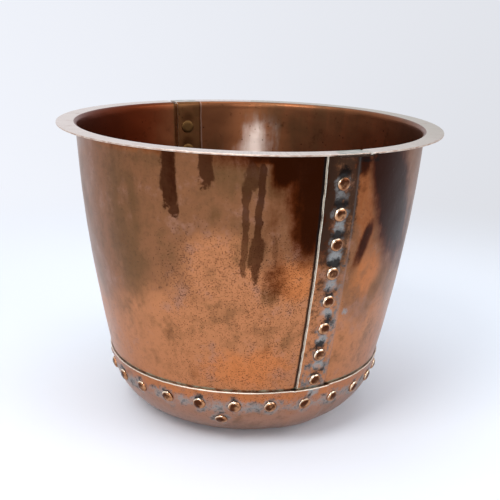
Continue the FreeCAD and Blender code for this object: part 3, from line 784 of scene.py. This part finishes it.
def rivetOutline(grip):
    # from the crown's middle over the shoulder, along the shank and round the tail
    head, skirt, rise, seat = (rivets[key] for key in ("headRadius", "headSkirt", "headRise", "headSeat"))
    shank, tail, disc = (rivets[key] for key in ("shankRadius", "tailRadius", "tailThickness"))
    outline = []
    for i in range(rivets["headSteps"] + 1):
        turn = (pi / 2) * i / rivets["headSteps"]
        outline.append((head * sin(turn) ** 0.85, skirt + (rise - skirt) * cos(turn) ** 1.25))
    outline += [(head, -seat), (shank, -seat), (shank, -grip)]
    for reach, depth in ((0.97, 0), (1, 0.35), (0.97, 0.75), (0.9, 0.97), (0.5, 1), (0, 1)):
        outline.append((tail * reach, -grip - disc * depth))
    return outline


def rivetPiece(name, spots, seed):
    chance = random.Random(seed)
    lean = rivets["tilt"] / rivets["headRadius"]
    bm = bmesh.new()
    for azimuth, radius, z, drop, grip in spots:
        part = bmesh.new()
        spinRound(part, [Vector((r, 0, h)) for r, h in rivetOutline(grip)], 2 * pi, rivets["segments"])
        bmesh.ops.recalc_face_normals(part, faces=part.faces)
        tilt = Vector((chance.uniform(-1, 1), chance.uniform(-1, 1), 0)) * lean
        shift = Vector((chance.uniform(0, 40), chance.uniform(0, 40), 0))
        size = chance.uniform(rivets["narrowest"], 1.0)
        crush = chance.uniform(rivets["flattest"], 1.0)
        if name == "baseRingRivets" and abs(azimuth - rivets["beatenAzimuth"]) < 0.1:
            crush = rivets["beatenRise"]
        for vert in part.verts:
            if vert.co.z > 0:
                lump = noise.noise(vert.co * rivets["lumpScale"] + shift) * rivets["lump"]
                vert.co.z *= crush * (1 + tilt.dot(vert.co)) + lump / rivets["headRise"]
            vert.co.x *= size
            vert.co.y *= size
        # the rivet's own axes: across and up the wall, and out of it
        outward = polar(cos(drop), azimuth, -sin(drop))
        across = polar(1, azimuth + 90, 0)
        turn = Matrix((across, outward.cross(across), outward)).transposed()
        push = unevenness(polar(radius, azimuth, z))
        place = polar(radius + push, azimuth, z + flangeSag(azimuth, z))
        bmesh.ops.transform(part, matrix=Matrix.Translation(place) @ turn.to_4x4(), verts=part.verts)
        mesh = bpy.data.meshes.new("part")
        part.to_mesh(mesh)
        part.free()
        bm.from_mesh(mesh)
        bpy.data.meshes.remove(mesh)
    piece = finishObject(name, bm)
    piece.data.materials.append(materials["rivet"])
    smoothShade(piece.data)
    return piece


pieces = {
    "right_wall_sheet": wallSheet("rightWallSheet", pot["frontSeam"], pot["backSeam"] - pot["frontSeam"]),
    "left_wall_sheet": wallSheet("leftWallSheet", pot["backSeam"],
                                 360 + pot["frontSeam"] - pot["backSeam"]),
    "base_pan": panPiece("basePan"),
}
print("sheets and pan ready")
pieces["front_seam_rivets"] = rivetPiece("frontSeamRivets", places["front_seam_rivets"], 3)
pieces["back_seam_rivets"] = rivetPiece("backSeamRivets", places["back_seam_rivets"], 5)
pieces["base_ring_rivets"] = rivetPiece("baseRingRivets", places["base_ring_rivets"], 11)
pieces["lower_pan_rivet"] = rivetPiece("lowerPanRivet", places["lower_pan_rivet"], 14)
print("rivets ready")


def softBand(values, low, high, soft):
    # 1 between low and high, with a soft edge on each side
    rise = np.clip((values - low) / soft + 0.5, 0, 1)
    fall = np.clip((high - values) / soft + 0.5, 0, 1)
    both = np.minimum(rise, fall)
    return both * both * (3 - 2 * both)


# soft marks on the outside: what, azimuth and half width in degrees, height and half height,
# degrees that the mark leans to the right for each metre it drops, strength
softMarks = [
    # broad dark patches high up, this and the next: tarnish and a painted dark reflection
    ("tarnishAndShade", 18.2, 7.0, 0.356, 0.084, 20, 1.25),
    ("tarnishAndShade", 12.0, 8.0, 0.340, 0.110, 10, 0.32),
    # this and the next two: dark bands just below the flange, a painted shadow under it
    ("tarnishAndShade", 4.0, 17.0, 0.397, 0.018, 0, 0.75),
    ("tarnishAndShade", 9.0, 12.0, 0.395, 0.011, 0, 1.25),
    ("tarnishAndShade", 12.0, 5.5, 0.382, 0.024, 0, 1.30),
    ("tarnishAndShade", 9.5, 5.0, 0.245, 0.028, 40, 0.46),
    # painted shadow under the flange
    ("tarnishAndShade", -34.0, 20.0, 0.396, 0.008, 0, 0.42),
    # this and the next: tarnish and a painted dark reflection high up on the right
    ("tarnishAndShade", 51.5, 9.4, 0.335, 0.084, 92, 1.35),
    ("tarnishAndShade", 65.0, 11.0, 0.270, 0.060, 110, 0.55),
    # painted shadow under the flange
    ("tarnishAndShade", 34.5, 4.0, 0.388, 0.022, 0, 0.90),
    ("shade", -38.0, 7.5, 0.237, 0.045, -60, 0.75),
    ("shade", 7.9, 3.6, 0.221, 0.012, 0, 0.60),
    ("shade", 15.0, 3.0, 0.158, 0.012, 0, 0.60),
    ("tarnishAndShade", 39.4, 2.2, 0.279, 0.029, -80, 1.05),
    ("shade", 47.6, 4.4, 0.199, 0.036, -144, 0.66),
    ("oxide", 36.4, 1.6, 0.190, 0.006, 0, 0.80),
    # painted shadow under the flange
    ("sootAndPaintedShade", 36.5, 5.0, 0.388, 0.0058, 0, 0.72),
    ("tarnishAndShade", 142.0, 11.0, 0.350, 0.070, 20, 0.40),
    ("tarnishAndShade", -118.0, 13.0, 0.360, 0.060, -30, 0.35),
    ("shade", 100.0, 9.0, 0.240, 0.060, 60, 0.45),
    ("shade", -160.0, 20.0, 0.300, 0.050, 30, 0.45),
    ("shade", -41.0, 9.0, 0.310, 0.075, 0, 0.75),
    ("shade", 2.0, 16.0, 0.372, 0.028, 0, 0.80),
    ("shade", -15.0, 9.0, 0.330, 0.040, 0, 0.35),
    ("shade", -1.0, 9.0, 0.285, 0.040, 0, 0.35),
    ("shade", 175.0, 30.0, 0.330, 0.070, 0, 0.55),
    ("shade", -80.0, 12.0, 0.290, 0.100, 0, 0.50),
    # warmth marks: painted reflection of the bright floor
    ("warmthAndReflection", -8.0, 13.0, 0.250, 0.050, 0, 0.80),
    ("warmthAndReflection", -17.0, 4.0, 0.345, 0.025, 0, 0.45),
    # glow marks: painted sheen in orange
    ("glow", 17.0, 8.0, 0.240, 0.026, 0, 0.85),
    ("glow", 37.6, 4.2, 0.325, 0.070, 60, 0.60),
    ("tarnishAndShade", 38.0, 8.0, 0.330, 0.080, 60, 0.34),
    ("glow", 44.0, 8.0, 0.235, 0.045, 60, 0.70),
    ("glow", -38.0, 16.0, 0.394, 0.008, 0, 0.50),
    ("glow", 10.0, 60.0, 0.078, 0.010, 0, 0.50),
    ("glow", 1.0, 15.0, 0.118, 0.030, 0, 0.75),
    ("glow", 75.0, 12.0, 0.150, 0.050, 0, 0.50),
    ("glow", 110.0, 50.0, 0.120, 0.040, 0, 0.55),
    ("glow", -110.0, 40.0, 0.150, 0.050, 0, 0.55),
]

# A mark fades over so many half widths. Past the end it comes back, so a half width under 1.82
# degrees shows again on the far side, as the oxide at 36.4 does beside the back seam: a known fault
markFade = {"width": 1.3, "end": 99}

# marks round the rivets: what, height above the rivet, full within and fading over so many sizes,
# size in metres, strength; high up on the seams the oxide below a rivet is fainter
rivetMarks = {
    "seam": (("oxide", 0, 1.9, 0.0095, 0.55), ("oxide", -0.0165, 1.8, 0.0080, 0.80),
             ("sootAndPaintedShade", 0.0125, 1.9, 0.0070, 0.72)),
    "seamTop": (("oxide", 0, 1.9, 0.0095, 0.55), ("oxide", -0.0165, 1.8, 0.0080, 0.50),
                ("sootAndPaintedShade", 0.0125, 1.9, 0.0070, 0.72)),
    "ring": (("oxide", 0, 2.0, 0.0105, 0.58), ("oxide", -0.00825, 1.7, 0.0095, 0.55),
             ("sootAndPaintedShade", 0.0100, 1.8, 0.0062, 0.46)),
}


def paintRivets(layers, points, spots):
    # each head gets a painted highlight on its upper left shoulder, partly wear, a painted dark reflection
    # in its middle, strongest to the upper left, and is darker round its foot
    for kind in ("oxide", "sootAndPaintedShade", "lap"):
        layers[kind][:] = 0
    for azimuth, radius, height, drop, grip in spots:
        outward = np.array(polar(cos(drop), azimuth, -sin(drop)))
        rightward = np.array(polar(1, azimuth + 90, 0))
        offset = points - np.array(polar(radius, azimuth, height))
        near = np.linalg.norm(offset, axis=1) < rivets["paintReach"]
        lift = offset @ outward
        flat = (offset - lift[:, None] * outward) / rivets["headRadius"]
        wide = np.linalg.norm(flat, axis=1)
        head = lift > rivets["headFrom"]
        towards = flat @ (np.array((0, 0, 0.8)) - 0.6 * rightward)
        ring = softBand(wide, 0.83, 0.99, 0.12) * np.clip(0.16 + 0.9 * towards, 0, 1)
        crown = softBand(wide, -1, 0.76, 0.35) * (0.62 + 0.4 * np.clip(towards, -1, 1))
        foot = softBand(wide, 0.97, 9, 0.06) * 0.9
        layers["wearAndHighlight"][near] = (ring * head)[near]
        layers["sootAndPaintedShade"][near] = ((crown + foot) * head)[near]
        layers["lap"][near] = (lift < rivets["tailFrom"])[near]


def paint(piece, spots):
    # soft masks that the materials read, one value for each vertex
    mesh = piece.data
    count = len(mesh.vertices)
    points = np.empty(count * 3)
    mesh.vertices.foreach_get("co", points)
    points = points.reshape(-1, 3)
    x, y, z = points.T
    radius = np.hypot(x, y)
    azimuth = np.degrees(np.arctan2(x, -y))
    kinds = ("warmthAndReflection", "shade", "glow", "tarnishAndShade", "lap", "oxide", "sootAndPaintedShade", "wearAndHighlight", "pits", "insideShade", "insideReflection")
    layers = {kind: np.zeros(count) for kind in kinds}

    def add(kind, values):
        layers[kind] = np.maximum(layers[kind], values)

    # painted reflection of the bright floor: the lower part is warmer, and ends in a slow wave
    wave = 0.232 + 0.022 * np.sin(np.radians(azimuth * 3 + 80)) + 0.012 * np.sin(np.radians(azimuth * 7))
    add("warmthAndReflection", softBand(z, -0.2, wave, 0.12) * 0.85)
    for kind, middle, half, level, depth, lean, strength in softMarks:
        aside = (azimuth - middle - lean * (level - z) + 180) % 360 - 180
        off = (abs(aside / half) ** 3 + abs((z - level) / depth) ** 3) ** (1 / 3)
        add(kind, (1 - softBand(off, 1.0, markFade["end"], markFade["width"])) * strength)
    # pits over the middle of the front, densest half way up
    pitted = np.maximum(softBand(z, 0.19, 0.285, 0.08) * 0.58, softBand(z, 0.07, 0.28, 0.07) * 0.36)
    add("pits", softBand(azimuth, -26, 24, 14) * pitted)
    # inside: painted shade to the left and the right, and a painted pale reflection at the back
    away = azimuth % 360
    add("insideShade", softBand(away, 212, 330, 60) * 0.90 + softBand(away, 30, 150, 60) * 0.40)
    add("insideReflection", softBand(away, 171, 186, 20) * softBand(z, 0.24, 0.362, 0.09) * (radius > 0.2))
    marked = [(spot, "seam" if spot[2] < 0.34 else "seamTop") for spot in seamPoints]
    marked += [(spot, "ring") for spot in ringPoints]
    for spot, group in marked:
        for kind, above, core, size, strength in rivetMarks[group]:
            far = np.linalg.norm(points - spot - np.array((0, 0, above)), axis=1)
            add(kind, np.clip(core - far / size, 0, 1) * strength)
    if piece.name == "basePan":
        # orange-brown under its edge, greyer along the rivets, pinker on the curve
        layers["warmthAndReflection"] = softBand(z, 0.069, 1, 0.012) * 0.8 + 0.1
        add("oxide", softBand(z, 0.053, 0.073, 0.014) * 0.58)
    for seam in (pot["frontSeam"], pot["backSeam"]):
        # smoky and broadest at the top of a lap, greyer at its foot and along its right side
        off = np.radians((azimuth - seam + 180) % 360 - 180) * radius
        high = softBand(z, 0.078, 1, 0.016)
        top = softBand(z, 0.270, 1, 0.12)
        add("lap", softBand(off, -0.0225, 0.0160, 0.007) * high * (0.45 + 0.4 * top))
        add("lap", softBand(off, 0.0, 0.0250, 0.010) * top * 0.85)
        add("oxide", softBand(off, 0.008, 0.0190, 0.008) * high * (1 - top) * 0.45)
        add("oxide", softBand(off, -0.0210, -0.0050, 0.006) * softBand(z, 0.07, 0.140, 0.06) * 0.48)
        # the lower lip of the lapped flange is dull
        add("sootAndPaintedShade", softBand(off, -0.032, 0.030, 0.004) * (z < pot["height"] - 0.0019) * (radius > 0.24))
    if "Rivet" in piece.name:
        paintRivets(layers, points, spots)
    for kind, values in layers.items():
        mesh.attributes.new(kind, "FLOAT", "POINT").data.foreach_set("value", values.astype(np.float32))
    # unrolled map: round the wall and up it, then out along the flange
    loops = np.empty(len(mesh.loops), int)
    mesh.loops.foreach_get("vertex_index", loops)
    around = np.radians((azimuth - azimuth[0] + 120) % 360) * pot["wallTopRadius"]
    upward = z + np.maximum(0, radius - pot["wallTopRadius"])
    wrap = mesh.uv_layers.new(name="wrap")
    wrap.data.foreach_set("uv", np.column_stack([around[loops], upward[loops]]).ravel())


for node, piece in pieces.items():
    paint(piece, places.get(node, ()))
    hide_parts(node)
    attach(piece, "root")
print("marks painted")

# The camera's place in metres and its turns in degrees
studio = {
    "cameraPlace": (0.0, -1.2237, 0.5694),
    "pitch": 16.06,
    "yaw": 0.237,
    "roll": 1.777,
    "focalPixels": 895.3,
    "picture": 500,
    "sensor": 36.0,
    "reach": 1000,
}


def makeCamera():
    pitch, yaw, roll = (radians(studio[key]) for key in ("pitch", "yaw", "roll"))
    ahead = Vector((sin(yaw) * cos(pitch), cos(yaw) * cos(pitch), -sin(pitch)))
    right = Vector((cos(yaw), -sin(yaw), 0))
    up = right.cross(ahead)
    rolledRight = cos(roll) * right + sin(roll) * up
    rolledUp = -sin(roll) * right + cos(roll) * up
    data = bpy.data.cameras.new("camera")
    data.sensor_width = studio["sensor"]
    data.clip_end = studio["reach"]
    data.lens = studio["focalPixels"] / studio["picture"] * studio["sensor"]
    camera = bpy.data.objects.new("camera", data)
    scene.collection.objects.link(camera)
    turn = Matrix((rolledRight, rolledUp, -ahead)).transposed()
    camera.matrix_world = Matrix.Translation(studio["cameraPlace"]) @ turn.to_4x4()
    scene.camera = camera


# name, place, what it is aimed at, size in metres, power in watts, colour
lamps = [
    ("keyLamp", (-1.1, -1.5, 2.2), (0, 0, 0.2), 1.3, 32, (1, 1, 1)),
    ("skyLamp", (-0.2, 0.1, 2.6), (0, 0, 0.2), 2.6, 26, (1, 1, 1)),
    ("fillLamp", (2.1, -0.9, 1.5), (0, 0, 0.1), 1.8, 19, (0.95, 0.97, 1)),
    ("windowLamp", (-0.12, -3.2, 1.25), (0, 0, 0.4), 0.8, 22, (1, 1, 1)),
]


def softLamp(name, place, target, size, power, colour):
    data = bpy.data.lights.new(name, "AREA")
    data.shape = "DISK"
    data.size = size
    data.energy = power
    data.color = colour
    lamp = bpy.data.objects.new(name, data)
    scene.collection.objects.link(lamp)
    lamp.location = place
    lamp.rotation_euler = (Vector(target) - Vector(place)).to_track_quat("-Z", "Y").to_euler()


makeCamera()
for lamp in lamps:
    softLamp(*lamp)

# The backdrop's tone goes from left to right over a bearing's sine, and the floor takes it on
# between two distances
backdrop = {
    "left": linear(243, 246, 254),
    "right": linear(222, 224, 230),
    "floor": linear(238, 244, 252),
    "spread": 0.6,
    "near": 0.45,
    "far": 1.5,
    "ambient": 0.60,
    "size": 400,
}


def floorMaterial():
    # plain paint near the pot, where it takes the shadow, and the backdrop's own tone further off
    t = Tree("floorPaint")
    t.use(colour=backdrop["floor"], rough=0.9)
    split = t.nodes.new("ShaderNodeSeparateXYZ")
    t.links.new(t.place, split.inputs[0])
    length = t.nodes.new("ShaderNodeVectorMath")
    length.operation = "LENGTH"
    t.links.new(t.place, length.inputs[0])
    away = length.outputs["Value"]
    bearing = t.math("DIVIDE", split.outputs[0], away)
    spread = t.ramp(bearing, -backdrop["spread"], backdrop["spread"])
    tone = t.mix(spread, backdrop["left"], backdrop["right"])
    glow = t.nodes.new("ShaderNodeEmission")
    t.links.new(tone, glow.inputs["Color"])
    ray = t.nodes.new("ShaderNodeLightPath")
    direct = t.math("MAXIMUM", ray.outputs["Is Camera Ray"], ray.outputs["Is Glossy Ray"])
    share = t.math("MULTIPLY", t.ramp(away, backdrop["near"], backdrop["far"]), direct)
    blend = t.nodes.new("ShaderNodeMixShader")
    t.links.new(share, blend.inputs[0])
    t.links.new(t.shader.outputs[0], blend.inputs[1])
    t.links.new(glow.outputs[0], blend.inputs[2])
    t.links.new(blend.outputs[0], t.nodes["Material Output"].inputs["Surface"])
    return t.material


def makeWorld():
    world = bpy.data.worlds.new("studio")
    scene.world = world
    world.use_nodes = True
    nodes, links = world.node_tree.nodes, world.node_tree.links
    background = nodes["Background"]
    coords = nodes.new("ShaderNodeTexCoord")
    split = nodes.new("ShaderNodeSeparateXYZ")
    links.new(coords.outputs["Generated"], split.inputs[0])
    share = nodes.new("ShaderNodeMapRange")
    share.interpolation_type = "SMOOTHSTEP"
    links.new(split.outputs[0], share.inputs["Value"])
    share.inputs["From Min"].default_value = -backdrop["spread"]
    share.inputs["From Max"].default_value = backdrop["spread"]
    tone = nodes.new("ShaderNodeMix")
    tone.data_type = "RGBA"
    links.new(share.outputs[0], tone.inputs[0])
    tone.inputs[6].default_value = backdrop["left"]
    tone.inputs[7].default_value = backdrop["right"]
    links.new(tone.outputs[2], background.inputs["Color"])
    path = nodes.new("ShaderNodeLightPath")
    seen = nodes.new("ShaderNodeMath")
    seen.operation = "MAXIMUM"
    links.new(path.outputs["Is Camera Ray"], seen.inputs[0])
    links.new(path.outputs["Is Glossy Ray"], seen.inputs[1])
    level = nodes.new("ShaderNodeMapRange")
    links.new(seen.outputs[0], level.inputs["Value"])
    level.inputs["To Min"].default_value = backdrop["ambient"]
    level.inputs["To Max"].default_value = 1.0
    links.new(level.outputs[0], background.inputs["Strength"])


makeWorld()
floorMesh = bmesh.new()
bmesh.ops.create_grid(floorMesh, x_segments=2, y_segments=2, size=backdrop["size"])
studioFloor = finishObject("studioFloor", floorMesh)
studioFloor.data.materials.append(floorMaterial())

scene.view_settings.view_transform = "Standard"
print("studio ready")
